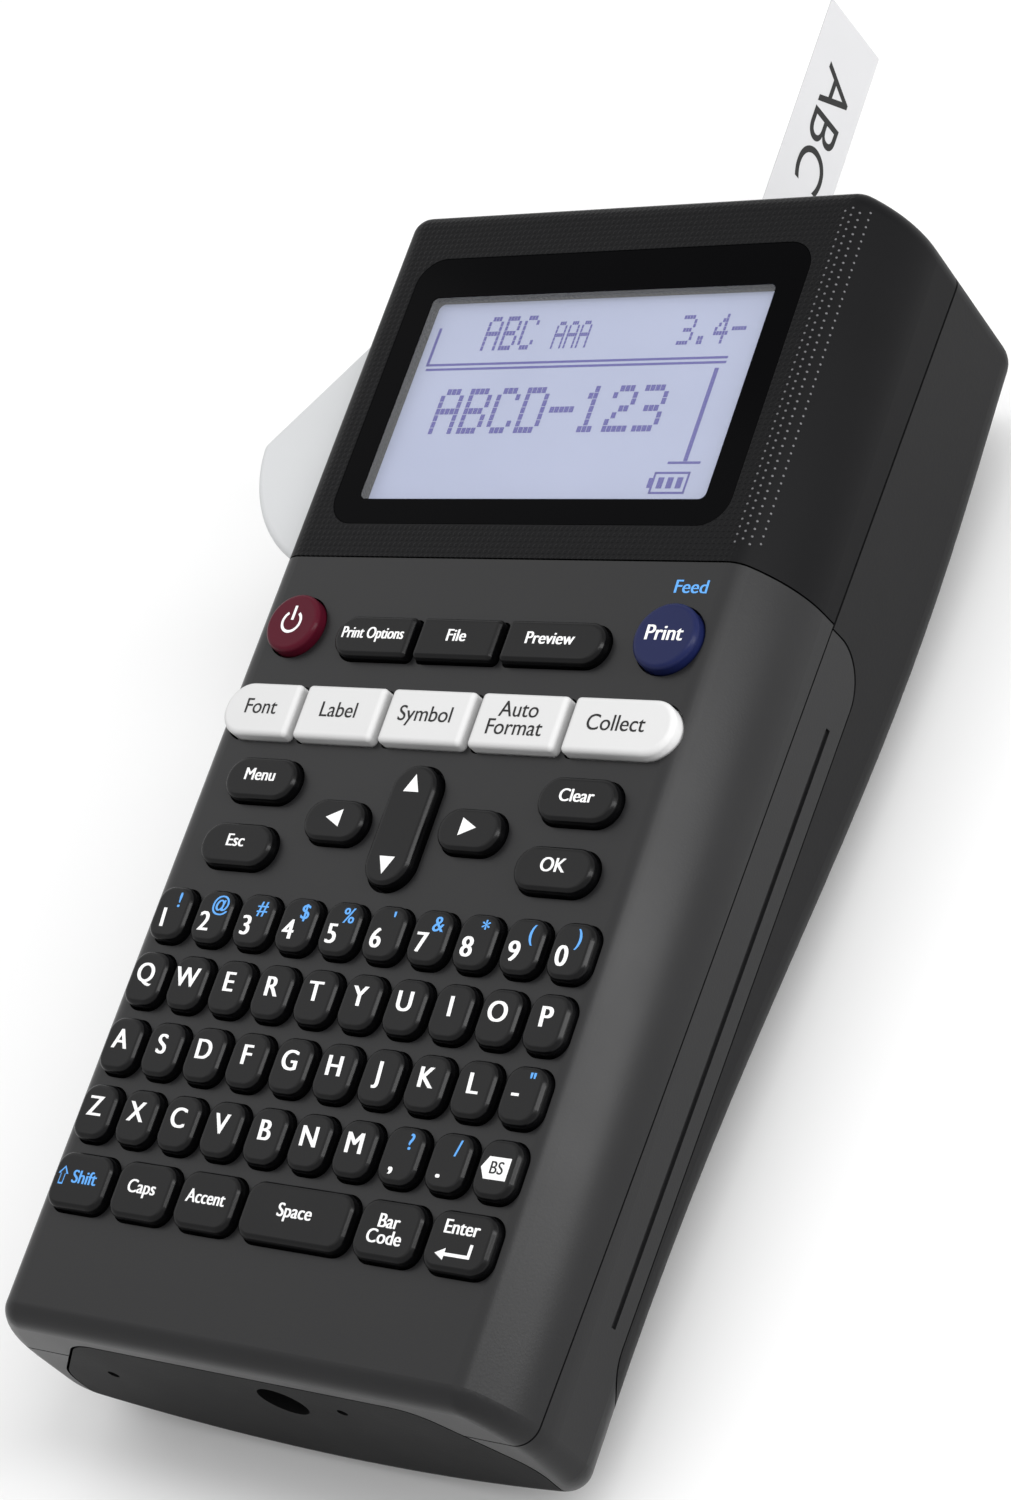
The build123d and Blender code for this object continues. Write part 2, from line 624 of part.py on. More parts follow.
nodes["mechanism_plate"] = [plate + holder]

# Cutter: lever, arm, pin, spring, carriage and blade
tip_r = 2.2
lever_start = (-49.5, 85.4)
lever_tip = (-67.3, 62.2)
arc_start = polar(PIVOT, LEVER_R, 191.5)
arc_mid = polar(PIVOT, LEVER_R, 225.0)
arc_end = polar(PIVOT, LEVER_R, 258.0)
lever_inner = (-35.4, 58.0)
lever_shoulder = (-35.4, 70.0)
lever_face = make_face([
    Line(lever_start, lever_tip),
    Line(lever_tip, arc_start),
    ThreePointArc(arc_start, arc_mid, arc_end),
    Line(arc_end, lever_inner),
    Line(lever_inner, lever_shoulder),
    Line(lever_shoulder, lever_start),
])
tip_corners = [v for v in lever_face.vertices() if v.X < -66.0]
lever_face = fillet(tip_corners, tip_r)
lever = extrude(Pos(0, 0, lever_bottom) * lever_face, LEVER_T)
rim = [e for e in lever.edges() if e.center().X < -52 and abs(e.center().Z - (LEVER_TOP + lever_bottom) / 2) > 1]
lever = fillet(rim, 1.4)
arm_top = gear_low - 0.3
ARM_T = 1.5
arm_low = arm_top - ARM_T
hub_bore = PIN_R + RUNNING_FIT
lever += rod(*PIVOT, HUB_R, arm_top, lever_bottom)
lever -= rod(*PIVOT, hub_bore, -40, 0)
nodes["cutter_lever"] = [lever]
peg_reach = CARRIAGE_Y - PIVOT[1]
peg_x = PIVOT[0] + CARRIAGE_TRAVEL / 2
arm_angle = math.degrees(math.atan2(peg_reach, CARRIAGE_TRAVEL / 2))
arm_length = math.hypot(peg_reach, CARRIAGE_TRAVEL / 2)
fork_half = CARRIAGE_PEG_R + 0.3
arm_bar = block(-6, arm_length + 1.4, -2.8, 2.8, arm_low, arm_top)
arm_bar -= block(arm_length - 3.0, arm_length + 6, -fork_half, fork_half, arm_low - 1, arm_top + 1)
arm = Pos(PIVOT[0], PIVOT[1], 0) * Rot(0, 0, arm_angle) * arm_bar
arm -= rod(*PIVOT, hub_bore, -40, 0)
nodes["cutter_arm"] = [arm]
nodes["cutter_pin"] = [rod(*PIVOT, PIN_R, arm_low - 0.4, pin_top)]
spring_low = HEAD_DECK_TOP + 0.3
spring = rod(*PIVOT, HUB_R + 1.6, spring_low, lever_bottom - 0.3) - rod(*PIVOT, HUB_R + 0.4, -40, 0)
nodes["cutter_spring"] = [spring]
bar_top = plate_low - 0.3
bar_low = arm_top + 0.4
BLADE_EDGE_X = TAPE_X + TAPE_T / 2 + 0.4 + CARRIAGE_TRAVEL
carriage = block(peg_x - 2, BLADE_EDGE_X + 5, CARRIAGE_Y - 1.0, CARRIAGE_Y + 1.0, bar_low, bar_top)
carriage += rod(peg_x, CARRIAGE_Y, CARRIAGE_PEG_R, arm_low - 0.2, bar_low)
nodes["cutter_carriage"] = [carriage]
blade_face = make_face(Polyline(
    (BLADE_EDGE_X, bar_low),
    (BLADE_EDGE_X + 4.5, bar_low),
    (BLADE_EDGE_X + 4.5, tape_low - 0.6),
    (BLADE_EDGE_X + 2.5, tape_low - 0.6),
    close=True,
))
nodes["cutter_blade"] = [extrude(Plane.XZ.offset(-CARRIAGE_Y - 0.4) * blade_face, 0.8)]

# Tape cassette
CASSETTE = (-30.0, 20.0, 45.5, PLATEN_Y - PLATEN_R - 1.0)
cassette_top = arm_low - 0.4
cassette_low = tape_low - 1.2
cassette = block(*CASSETTE, cassette_low, cassette_top)
cassette = fillet(cassette.edges().filter_by(Axis.Z), 3.0)
cassette -= block(CASSETTE[0] + 1, CASSETTE[1] - 1, CASSETTE[2] + 1, CASSETTE[3] - 1,
                  cassette_low + 0.8, cassette_top - 0.8)
TAPE_ROLL_AT = (-14.0, 63.5)
RIBBON_AT = (11.0, 66.0)
for at in (TAPE_ROLL_AT, RIBBON_AT):
    cassette += rod(*at, 2.0, cassette_low + 0.4, cassette_top - 0.4)
cassette -= block(TAPE_X - 0.6, TAPE_X + 0.6, CASSETTE[3] - 2, CASSETTE[3] + 1, tape_low - 0.2, tape_top + 0.2)
nodes["cassette_case"] = [cassette]
spool_low = cassette_low + 1.1
spool_top = cassette_top - 1.1
nodes["tape_roll"] = [rod(*TAPE_ROLL_AT, 13.5, spool_low, spool_top) - rod(*TAPE_ROLL_AT, 2.1, -60, 0)]
nodes["ribbon_spool"] = [rod(*RIBBON_AT, 7.0, spool_low, spool_top) - rod(*RIBBON_AT, 2.1, -60, 0)]
nodes["label_tape"] = [block(TAPE_X - TAPE_T / 2, TAPE_X + TAPE_T / 2, CASSETTE[3] - 0.8, TAPE_END_Y,
                             tape_low, tape_top)]

os.makedirs("parts", exist_ok=True)
for name, solids in nodes.items():
    placed = [REST * solid for solid in solids]
    shape = placed[0] if len(placed) == 1 else Compound(children=placed)
    export_step(shape, f"parts/{name}.step")
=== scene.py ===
# %% [markdown]
# A handheld label maker: a charcoal keyboard case, a black head with a display, a pale cutter lever
# on the left and a strip of label tape leaving the head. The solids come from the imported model, so
# this lesson gives them their finishes, prints the key legends and draws the display.

# %% Load the frame
import math

import bmesh
import bpy
from mathutils import Matrix, Vector
from mathutils.bvhtree import BVHTree


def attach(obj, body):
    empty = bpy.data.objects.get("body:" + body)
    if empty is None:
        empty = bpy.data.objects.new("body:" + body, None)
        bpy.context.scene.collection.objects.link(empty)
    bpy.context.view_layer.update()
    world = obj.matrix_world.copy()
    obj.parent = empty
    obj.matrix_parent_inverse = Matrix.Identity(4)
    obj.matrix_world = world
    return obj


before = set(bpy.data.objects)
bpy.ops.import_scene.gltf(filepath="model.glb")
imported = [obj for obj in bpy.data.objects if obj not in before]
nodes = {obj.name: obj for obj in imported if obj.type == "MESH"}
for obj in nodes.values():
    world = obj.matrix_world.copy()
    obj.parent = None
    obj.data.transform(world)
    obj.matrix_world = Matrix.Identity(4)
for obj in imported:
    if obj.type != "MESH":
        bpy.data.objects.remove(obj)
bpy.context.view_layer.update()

# %% [markdown]
# The keyboard face is tilted towards the user, because the body stands on low feet at its lower end
# and on taller ones under the head. Legends and the display are easier to lay out on a flat face, so
# everything below is given in millimetres on that face and moved by one matrix. The origin of the
# row is the right rear foot, so the numbers repeat the feet of the solid model.

# %% The face frame
MM = 0.001
REAR_FOOT = (-91.0, -37.6)
COVER_FOOT = (40.0, -53.9)
TILT = math.atan2(REAR_FOOT[1] - COVER_FOOT[1], COVER_FOOT[0] - REAR_FOOT[0])
FOOT_X = 29.0
ORIGIN_FOOT = Vector((FOOT_X, *REAR_FOOT))
TO_ROW = Matrix.Rotation(TILT, 4, "X") @ Matrix.Scale(MM, 4) @ Matrix.Translation(-ORIGIN_FOOT)


def on_face(x, y, z=0.0):
    """A point of the face, in millimetres, as a point of the row frame in metres."""
    return TO_ROW @ Vector((x, y, z))


print("tilt in degrees", round(math.degrees(TILT), 2))

# %% [markdown]
# The camera looks down on the right side of the face with a long lens. Its place was found by
# fitting the grid of keys, so it is written on the face frame too. The three directions are the
# camera's right, down and forward.

# %% Camera
CAMERA_AT = (348.33, -183.11, 391.9)
CAMERA_RIGHT = Vector((0.790541, 0.311464, -0.527291))
CAMERA_DOWN = Vector((0.043405, -0.887341, -0.459067))
CAMERA_FORWARD = Vector((-0.610869, 0.340024, -0.714998))
LENS_MM = 86.68
SENSOR_MM = 36.0

camera_data = bpy.data.cameras.new("camera")
camera_data.sensor_fit = "VERTICAL"
camera_data.sensor_height = SENSOR_MM
camera_data.lens = LENS_MM
camera_data.clip_start = 0.01
camera = bpy.data.objects.new("camera", camera_data)
turn = Matrix((CAMERA_RIGHT, -CAMERA_DOWN, -CAMERA_FORWARD)).transposed().to_4x4()
level = Matrix.Rotation(TILT, 4, "X")
camera.matrix_world = Matrix.Translation(on_face(*CAMERA_AT)) @ level @ turn
bpy.context.scene.collection.objects.link(camera)
bpy.context.scene.camera = camera
print("camera at", [round(v, 3) for v in camera.location])

# %% [markdown]
# A plain studio starts with a pale floor, a hair below the feet.

# %% Floor
scene = bpy.context.scene
scene.view_settings.view_transform = "Standard"
FLOOR_HALF = 3.0
FLOOR_DROP = 0.0002


def new_object(name, mesh):
    """Puts a mesh into the scene."""
    made = bpy.data.objects.new(name, mesh)
    scene.collection.objects.link(made)
    return made


floor_mesh = bpy.data.meshes.new("floor")
floor_corners = [(x * FLOOR_HALF, y * FLOOR_HALF, -FLOOR_DROP)
                 for x, y in ((-1, -1), (1, -1), (1, 1), (-1, 1))]
floor_mesh.from_pydata(floor_corners, [], [(0, 1, 2, 3)])
floor = new_object("floor", floor_mesh)
floor_finish = bpy.data.materials.new("pale_floor")
floor_finish.use_nodes = True
floor_shader = floor_finish.node_tree.nodes["Principled BSDF"]
floor_shader.inputs["Base Color"].default_value = (0.9, 0.9, 0.9, 1)
floor_shader.inputs["Roughness"].default_value = 0.9
floor_shader.inputs["Specular IOR Level"].default_value = 0.1
floor.data.materials.append(floor_finish)
print("floor", 2 * FLOOR_HALF, "m wide")

# %% [markdown]
# The world is soft and white. The camera and the reflections see it at full white, and the light
# that it casts is weaker.

# %% World
WORLD_CAST = 0.66
WORLD_SEEN = 1.0
world = bpy.data.worlds.new("studio")
world.use_nodes = True
scene.world = world
sky = world.node_tree.nodes["Background"]
sky.inputs["Color"].default_value = (1, 1, 1, 1)
light_path = world.node_tree.nodes.new("ShaderNodeLightPath")
seen = light_path.outputs["Is Camera Ray"]
for ray in ("Is Glossy Ray", "Is Transmission Ray"):
    either = world.node_tree.nodes.new("ShaderNodeMath")
    either.operation = "MAXIMUM"
    world.node_tree.links.new(seen, either.inputs[0])
    world.node_tree.links.new(light_path.outputs[ray], either.inputs[1])
    seen = either.outputs["Value"]
strength = world.node_tree.nodes.new("ShaderNodeMapRange")
strength.inputs["To Min"].default_value = WORLD_CAST
strength.inputs["To Max"].default_value = WORLD_SEEN
world.node_tree.links.new(seen, strength.inputs["Value"])
world.node_tree.links.new(strength.outputs["Result"], sky.inputs["Strength"])
print("world casts", WORLD_CAST, "and is seen at", WORLD_SEEN)

# %% [markdown]
# Three large lamps light the object. The strip lamp on the right draws the long highlight along
# the shoulder of the case.


# %% Lamps
def lamp(name, at, aim, size, watts):
    """A rectangular soft lamp, placed and aimed on the face frame."""
    data = bpy.data.lights.new(name, "AREA")
    data.shape = "RECTANGLE"
    data.size = size[0]
    data.size_y = size[1]
    data.energy = watts
    made = bpy.data.objects.new(name, data)
    place = on_face(*at)
    aimed = (on_face(*aim) - place).to_track_quat("-Z", "Y").to_matrix().to_4x4()
    made.matrix_world = Matrix.Translation(place) @ aimed
    scene.collection.objects.link(made)


# Place and aim in millimetres on the face, size in metres, power in watts
lamp("overhead", (-150, 250, 900), (0, 20, 0), (0.9, 0.9), 2.2)
lamp("right_strip", (620, 170, 330), (40, 30, -10), (0.16, 1.4), 7.0)
lamp("left_fill", (-600, 200, 500), (0, 0, 0), (0.5, 0.5), 0.5)

# %% [markdown]
# Moulded plastic is never one flat colour: the mould is sparked to a fine grain, the gloss drifts
# where the flow slowed, and the colour has faint streaks. One helper builds that from noise in the
# object's own coordinates: a large soft noise for colour and gloss, and a small one for the grain.

# %% Moulded plastic
STREAK_SCALE = 55.0
STREAK_DETAIL = 4.0
GRAIN_DETAIL = 2.0
GRAIN_STRENGTH = 0.35
LEAST_ROUGHNESS = 0.02


def finish(name, colour, roughness, drift=0.12, grain=2600.0, grain_depth=0.02, gloss_drift=0.06,
           shine=0.2, **sockets):
    """A moulded surface: its colour, gloss and grain all vary a little.

    The grain is in grains per metre and its depth in millimetres. Other sockets of the shader are
    given by name, with underscores for spaces.
    """
    made = bpy.data.materials.new(name)
    made.use_nodes = True
    tree = made.node_tree
    shader = tree.nodes["Principled BSDF"]
    shader.inputs["Specular IOR Level"].default_value = shine
    place = tree.nodes.new("ShaderNodeTexCoord")
    soft = tree.nodes.new("ShaderNodeTexNoise")
    soft.inputs["Scale"].default_value = STREAK_SCALE
    soft.inputs["Detail"].default_value = STREAK_DETAIL
    tree.links.new(place.outputs["Object"], soft.inputs["Vector"])
    tint = tree.nodes.new("ShaderNodeMix")
    tint.data_type = "RGBA"
    tint.inputs["A"].default_value = (*[c * (1 - drift) for c in colour], 1)
    tint.inputs["B"].default_value = (*[min(1.0, c * (1 + drift)) for c in colour], 1)
    tree.links.new(soft.outputs["Fac"], tint.inputs["Factor"])
    tree.links.new(tint.outputs["Result"], shader.inputs["Base Color"])
    gloss = tree.nodes.new("ShaderNodeMapRange")
    gloss.inputs["To Min"].default_value = max(LEAST_ROUGHNESS, roughness - gloss_drift)
    gloss.inputs["To Max"].default_value = min(1.0, roughness + gloss_drift)
    tree.links.new(soft.outputs["Fac"], gloss.inputs["Value"])
    tree.links.new(gloss.outputs["Result"], shader.inputs["Roughness"])
    sparks = tree.nodes.new("ShaderNodeTexNoise")
    sparks.inputs["Scale"].default_value = grain
    sparks.inputs["Detail"].default_value = GRAIN_DETAIL
    tree.links.new(place.outputs["Object"], sparks.inputs["Vector"])
    bump = tree.nodes.new("ShaderNodeBump")
    bump.inputs["Strength"].default_value = GRAIN_STRENGTH
    bump.inputs["Distance"].default_value = grain_depth * MM
    tree.links.new(sparks.outputs["Fac"], bump.inputs["Height"])
    tree.links.new(bump.outputs["Normal"], shader.inputs["Normal"])
    for socket, value in sockets.items():
        shader.inputs[socket.replace("_", " ")].default_value = value
    return made


def paint(material, *names):
    """Gives whole CAD nodes one finish."""
    for name in names:
        mesh = nodes[name].data
        mesh.materials.clear()
        mesh.materials.append(material)


COARSE_GRAIN = 1700.0
COARSE_DEPTH = 0.05
charcoal = finish("charcoal_case_plastic", (0.0102, 0.0102, 0.0108), 0.34, grain_depth=0.03, shine=0.22)
back_black = finish("back_cover_plastic", (0.010, 0.010, 0.0105), 0.5,
                    grain=COARSE_GRAIN, grain_depth=COARSE_DEPTH, shine=0.1)
# The end panel gets a darker black than the back cover. The extra darkness is painted shade for the end,
# which stands in shade.
end_black_painted_shade = finish("end_panel_plastic_painted_shade", (0.004, 0.004, 0.0042), 0.5,
                   grain=COARSE_GRAIN, grain_depth=COARSE_DEPTH, shine=0.05)
paint(charcoal, "front_case", "rear_case")
paint(back_black, "back_cover")
paint(end_black_painted_shade, "end_panel")
print("case finishes done")

# %% [markdown]
# The head is a darker moulding with a fine grid of raised dots. A Voronoi texture with no
# randomness is a perfect grid, so its distance makes round dots. The grid lies on the face, so
# the coordinates are turned by the tilt first. The dots fade out where the shoulders begin.

# %% Dotted head cover
DOT_PITCH_MM = 1.05
DOT_RISE_MM = 0.12
DOT_STRENGTH = 0.9
# Where a dot starts and where its top is, as parts of the pitch from its middle
DOT_EDGE = 0.42
DOT_TOP = 0.22
FLAT_HALF_MM = 42.0
FADE_MM = 2.0


def dotted_finish(name, colour, roughness):
    """Adds a regular grid of low round dots to a moulded surface."""
    made = finish(name, colour, roughness, grain_depth=0.02, shine=0.07)
    tree = made.node_tree
    shader = tree.nodes["Principled BSDF"]
    place = tree.nodes.new("ShaderNodeTexCoord")
    level = tree.nodes.new("ShaderNodeMapping")
    level.inputs["Rotation"].default_value = (-TILT, 0, 0)
    level.inputs["Location"].default_value = ORIGIN_FOOT * MM
    dots = tree.nodes.new("ShaderNodeTexVoronoi")
    dots.voronoi_dimensions = "2D"
    dots.inputs["Scale"].default_value = 1.0 / (DOT_PITCH_MM * MM)
    dots.inputs["Randomness"].default_value = 0.0
    tree.links.new(place.outputs["Object"], level.inputs["Vector"])
    tree.links.new(level.outputs["Vector"], dots.inputs["Vector"])
    height = tree.nodes.new("ShaderNodeMapRange")
    height.interpolation_type = "SMOOTHSTEP"
    height.inputs["From Min"].default_value = DOT_EDGE
    height.inputs["From Max"].default_value = DOT_TOP
    tree.links.new(dots.outputs["Distance"], height.inputs["Value"])
    split = tree.nodes.new("ShaderNodeSeparateXYZ")
    tree.links.new(level.outputs["Vector"], split.inputs["Vector"])
    across = tree.nodes.new("ShaderNodeMath")
    across.operation = "ABSOLUTE"
    tree.links.new(split.outputs["X"], across.inputs[0])
    fade = tree.nodes.new("ShaderNodeMapRange")
    fade.inputs["From Min"].default_value = FLAT_HALF_MM * MM
    fade.inputs["From Max"].default_value = (FLAT_HALF_MM + FADE_MM) * MM
    fade.inputs["To Min"].default_value = 1.0
    fade.inputs["To Max"].default_value = 0.0
    tree.links.new(across.outputs["Value"], fade.inputs["Value"])
    shown = tree.nodes.new("ShaderNodeMath")
    shown.operation = "MULTIPLY"
    tree.links.new(height.outputs["Result"], shown.inputs[0])
    tree.links.new(fade.outputs["Result"], shown.inputs[1])
    raised = tree.nodes.new("ShaderNodeBump")
    raised.inputs["Strength"].default_value = DOT_STRENGTH
    raised.inputs["Distance"].default_value = DOT_RISE_MM * MM
    grain = next(n for n in tree.nodes if n.type == "BUMP" and n is not raised)
    tree.links.new(shown.outputs["Value"], raised.inputs["Height"])
    tree.links.new(grain.outputs["Normal"], raised.inputs["Normal"])
    tree.links.new(raised.outputs["Normal"], shader.inputs["Normal"])
    return made


head_black = dotted_finish("dotted_head_plastic", (0.0045, 0.0045, 0.005), 0.42)
paint(head_black, "display_cover")
print("dot pitch mm", DOT_PITCH_MM)

# %% [markdown]
# Along the right shoulder of the head four columns of these dots stand out far enough to catch the
# light.
# They are modelled as low domes, and each is dropped straight down on the cover by a ray, so it sits on
# the curve of the shoulder. They are coloured a lighter grey than the cover, which is a painted
# highlight.

# %% Raised dots on the shoulder
DOME_R = 0.22
DOME_RISE = 0.09
DOME_SIDES = 8
# Radius and height of the two rings of a dome; the lower one is sunk a little into the cover
DOME_RINGS = ((DOME_R, -0.02), (DOME_R * 0.6, DOME_RISE * 0.75))
COLUMN_X = 42.6
COLUMN_STEP = 1.15
COLUMN_COUNT = 4
FIRST_DOT_Y = 40.0
DOT_STEP = 1.32
DOTS_IN_COLUMN = 46
RAY_START_Z = 20.0
cover_surface = BVHTree.FromObject(nodes["display_cover"], bpy.context.evaluated_depsgraph_get())
into_face = (on_face(0, 0, -1) - on_face(0, 0, 0)).normalized()
angles = [2 * math.pi * side / DOME_SIDES for side in range(DOME_SIDES)]
domes = bmesh.new()
for column in range(COLUMN_COUNT):
    x = COLUMN_X + COLUMN_STEP * column
    stagger = DOT_STEP / 2 * (column % 2)
    for step in range(DOTS_IN_COLUMN):
        start = on_face(x, FIRST_DOT_Y + DOT_STEP * step + stagger, RAY_START_Z)
        hit, normal, _, _ = cover_surface.ray_cast(start, into_face)
        if hit is None:
            continue
        lean = normal.to_track_quat("Z", "Y").to_matrix().to_4x4()
        place = Matrix.Translation(hit) @ lean @ Matrix.Scale(MM, 4)
        top = domes.verts.new(place @ Vector((0, 0, DOME_RISE)))
        rings = []
        for radius, height in DOME_RINGS:
            circle = [Vector((radius * math.cos(a), radius * math.sin(a), height)) for a in angles]
            rings.append([domes.verts.new(place @ point) for point in circle])
        for side in range(DOME_SIDES):
            after = (side + 1) % DOME_SIDES
            domes.faces.new((rings[0][side], rings[0][after], rings[1][after], rings[1][side]))
            domes.faces.new((rings[1][side], rings[1][after], top))
domes_mesh = bpy.data.meshes.new("shoulder_dots")
domes.to_mesh(domes_mesh)
domes.free()
# The domes are a lighter grey than the cover they sit on. This is a painted highlight for their glints.
domes_mesh.materials.append(finish("shoulder_dot_painted_glint", (0.1, 0.1, 0.105), 0.3, shine=0.4))
shoulder_dots = new_object("shoulder_dots", domes_mesh)
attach(shoulder_dots, "case")
print("shoulder dots", len(domes_mesh.polygons) // (2 * DOME_SIDES))

# %% [markdown]
# The display: a gloss black bezel round a clear window, with the liquid-crystal panel behind it.
# Part of the panel's pale blue is painted light: it glows by emission, so it stays even.

# %% Bezel, window and panel
gloss_black = finish("gloss_bezel", (0.001, 0.001, 0.0013), 0.1,
                     gloss_drift=0.02, grain_depth=0.003, shine=0.02)
paint(gloss_black, "display_bezel")
clear = finish("clear_window", (0.9, 0.92, 0.95), 0.05,
               gloss_drift=0.02, grain_depth=0.002, shine=0.1, Alpha=0.06)
paint(clear, "display_window")
# The emission is a painted glow, because the panel is no lamp.
panel_blue = finish("panel_painted_glow", (0.23, 0.255, 0.36), 0.35, drift=0.05, grain_depth=0.004,
                    Emission_Color=(0.47, 0.52, 0.72, 1), Emission_Strength=0.24)
paint(panel_blue, "lcd_panel")
print("display finishes done")

# %% [markdown]
# Keys are separate mouldings: satin black ones, five white ones, a maroon power key and a navy
# print key.

# %% Key finishes
key_black = finish("key_black_plastic", (0.0022, 0.0022, 0.0025), 0.25, grain_depth=0.012, shine=0.16)
key_white = finish("key_white_plastic", (0.61, 0.61, 0.61), 0.42, drift=0.03, grain_depth=0.012)
key_maroon = finish("key_maroon_plastic", (0.072, 0.005, 0.014), 0.3, grain_depth=0.012, shine=0.08)
key_navy = finish("key_navy_plastic", (0.0085, 0.0125, 0.058), 0.32, grain_depth=0.012, shine=0.12)
WHITE_KEYS = ["font_key", "label_key", "symbol_key", "format_key", "collection_key"]
key_nodes = [name for name in nodes if name.endswith(("_key", "_keys"))]
for name in key_nodes:
    paint(key_white if name in WHITE_KEYS else key_black, name)
paint(key_maroon, "power_key")
paint(key_navy, "print_key")
print("key nodes", len(key_nodes))

# %% [markdown]
# The cutter lever is frosted, pale and a little see-through, and the label is a white laminated film.
# The film is coloured mid grey, which is painted shade.

# %% Lever, tape and feet
lever_frost = finish("frosted_lever", (0.62, 0.63, 0.64), 0.38, drift=0.03, grain_depth=0.01,
                     Transmission_Weight=0.1, IOR=1.45)
paint(lever_frost, "cutter_lever")
# Mid grey for the white film is painted shade.
film = finish("label_film_painted_shade", (0.53, 0.53, 0.54), 0.32, drift=0.02, grain_depth=0.004)
paint(film, "label_tape", "tape_roll")
rubber = finish("foot_rubber", (0.015, 0.015, 0.015), 0.8, grain=900.0, grain_depth=0.08)
paint(rubber, "rear_feet", "cover_feet", "platen_roller")
print("lever, tape and feet done")

# %% [markdown]
# Pieces inside the case show when the cover is off, so they are finished too: brushed steel,
# moulded gears, a green board, a grey cassette and the rest.

# %% Inner finishes
steel = finish("brushed_steel", (0.5, 0.5, 0.51), 0.32, grain=1200.0, grain_depth=0.02, Metallic=1.0)
paint(steel, "mechanism_plate", "drive_motor", "cutter_pin", "cutter_spring", "cutter_blade",
      "case_screws")
paint(finish("fin_aluminium", (0.66, 0.66, 0.67), 0.4, Metallic=1.0), "print_head")
paint(finish("gear_plastic", (0.7, 0.69, 0.62), 0.45, drift=0.05),
      "platen_gear", "reduction_gear", "cutter_arm", "cutter_carriage")
paint(finish("plated_brass", (0.7, 0.52, 0.22), 0.3, Metallic=1.0), "motor_pinion", "battery_contacts")
paint(finish("solder_mask", (0.015, 0.1, 0.04), 0.35, grain=700.0), "main_board")
paint(finish("grey_silicone", (0.25, 0.25, 0.26), 0.7), "keypad_mat")
paint(finish("battery_wrap", (0.04, 0.04, 0.05), 0.35), "battery_pack")
paint(finish("jack_plastic", (0.012, 0.012, 0.012), 0.45), "power_jack")
paint(finish("cassette_plastic", (0.3, 0.3, 0.31), 0.45), "cassette_case")
paint(finish("ribbon_film", (0.015, 0.015, 0.02), 0.25), "ribbon_spool")
bare = [name for name, node in nodes.items() if not node.data.materials]
print("nodes without a finish", bare)

# %% [markdown]
# Legends are pad printed on the keys: white ones, light blue ones for the shifted signs and black
# ones on the white keys. Each legend is laid out with Blender's own font, turned into a flat mesh
# just above the key, and joined with the others of its body, so it presses with its key.

# %% Legend printer
INK_LIFT = 0.03
OVERPRINT_LIFT = 0.02
PASS_LIFT = 0.006
KEY_TOP = 2.0
# Font size for capitals one unit high, and the spacing of two-line legends
SIZE_FOR_CAPITALS = 1.37
LINE_SPACING = 0.8
white_ink = finish("white_ink", (0.85, 0.85, 0.85), 0.5, drift=0.03)
blue_ink = finish("blue_ink", (0.11, 0.36, 0.8), 0.5, drift=0.05)
black_ink = finish("black_ink", (0.012, 0.012, 0.012), 0.5, drift=0.05)
INKS = [white_ink, blue_ink, black_ink]
WHITE, BLUE, BLACK = range(3)


class Print:
    """Collects flat inked shapes for one body, in millimetres on the face."""

    def __init__(self, name, body, slot):
        self.name = name
        self.body = body
        self.slot = slot
        self.mesh = bmesh.new()

    def add_polygon(self, points, ink, z):
        """One flat shape that faces up."""
        corners = [self.mesh.verts.new((x, y, z)) for x, y in points]
        face = self.mesh.faces.new(corners)
        face.material_index = ink
        face.normal_update()
        if face.normal.z < 0:
            face.normal_flip()

    def add_text(self, words, x, y, height, ink, z, width=1.0, slant=-0.04, weight=0.0):
        """Words centred on x, y, with capitals of that height.

        A weight prints them twice, that far to either side, which makes them bolder.
        """
        curve = bpy.data.curves.new("legend", "FONT")
        curve.body = words
        curve.align_x = "CENTER"
        curve.align_y = "CENTER"
        curve.size = height * SIZE_FOR_CAPITALS
        curve.shear = slant
        curve.space_line = LINE_SPACING
        holder = bpy.data.objects.new("legend", curve)
        scene.collection.objects.link(holder)
        bpy.context.view_layer.update()
        filled = holder.evaluated_get(bpy.context.evaluated_depsgraph_get())
        flat = bpy.data.meshes.new_from_object(filled)
        squeeze = Matrix.Diagonal((width, 1, 1, 1))
        passes = (-weight, weight) if weight else (0.0,)
        first = len(self.mesh.faces)
        for step, shift in enumerate(passes):
            layer = flat.copy()
            layer.transform(Matrix.Translation((x + shift, y, z + step * PASS_LIFT)) @ squeeze)
            self.mesh.from_mesh(layer)
            bpy.data.meshes.remove(layer)
        self.mesh.faces.ensure_lookup_table()
        for face in self.mesh.faces[first:]:
            face.material_index = ink
        bpy.data.objects.remove(holder)
        bpy.data.curves.remove(curve)
        bpy.data.meshes.remove(flat)

    def done(self, place=TO_ROW):
        """Makes the piece and lets it ride on its body."""
        mesh = bpy.data.meshes.new(self.name)
        self.mesh.to_mesh(mesh)
        self.mesh.free()
        mesh.transform(place)
        for ink in INKS:
            mesh.materials.append(ink)
        made = new_object(self.name, mesh)
        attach(made, self.body)


print("inks", [ink.name for ink in INKS])

# %% [markdown]
# The four rows of character keys. On a key with two signs the main one sits left of the middle, and
# the shifted one is small, blue and up to the right. The last key of the lowest row has a white flag.

# %% Character legends
COLUMN_PITCH = 8.7
COLUMNS = 10
MIDDLE_COLUMN = 4.5
ROW_PITCH = 11.31
DIGIT_ROW_Y = -29.0
MAIN_H = 3.4
MAIN_UP = 0.6
# On a key with two signs the main one moves left and down, and the dash stays near the middle
MAIN_LEFT = 0.85
MAIN_DOWN = 1.15
DASH_UP = 0.3
SHIFTED_H = 2.6
SHIFTED_RIGHT = 1.25
SHIFTED_UP = 2.0
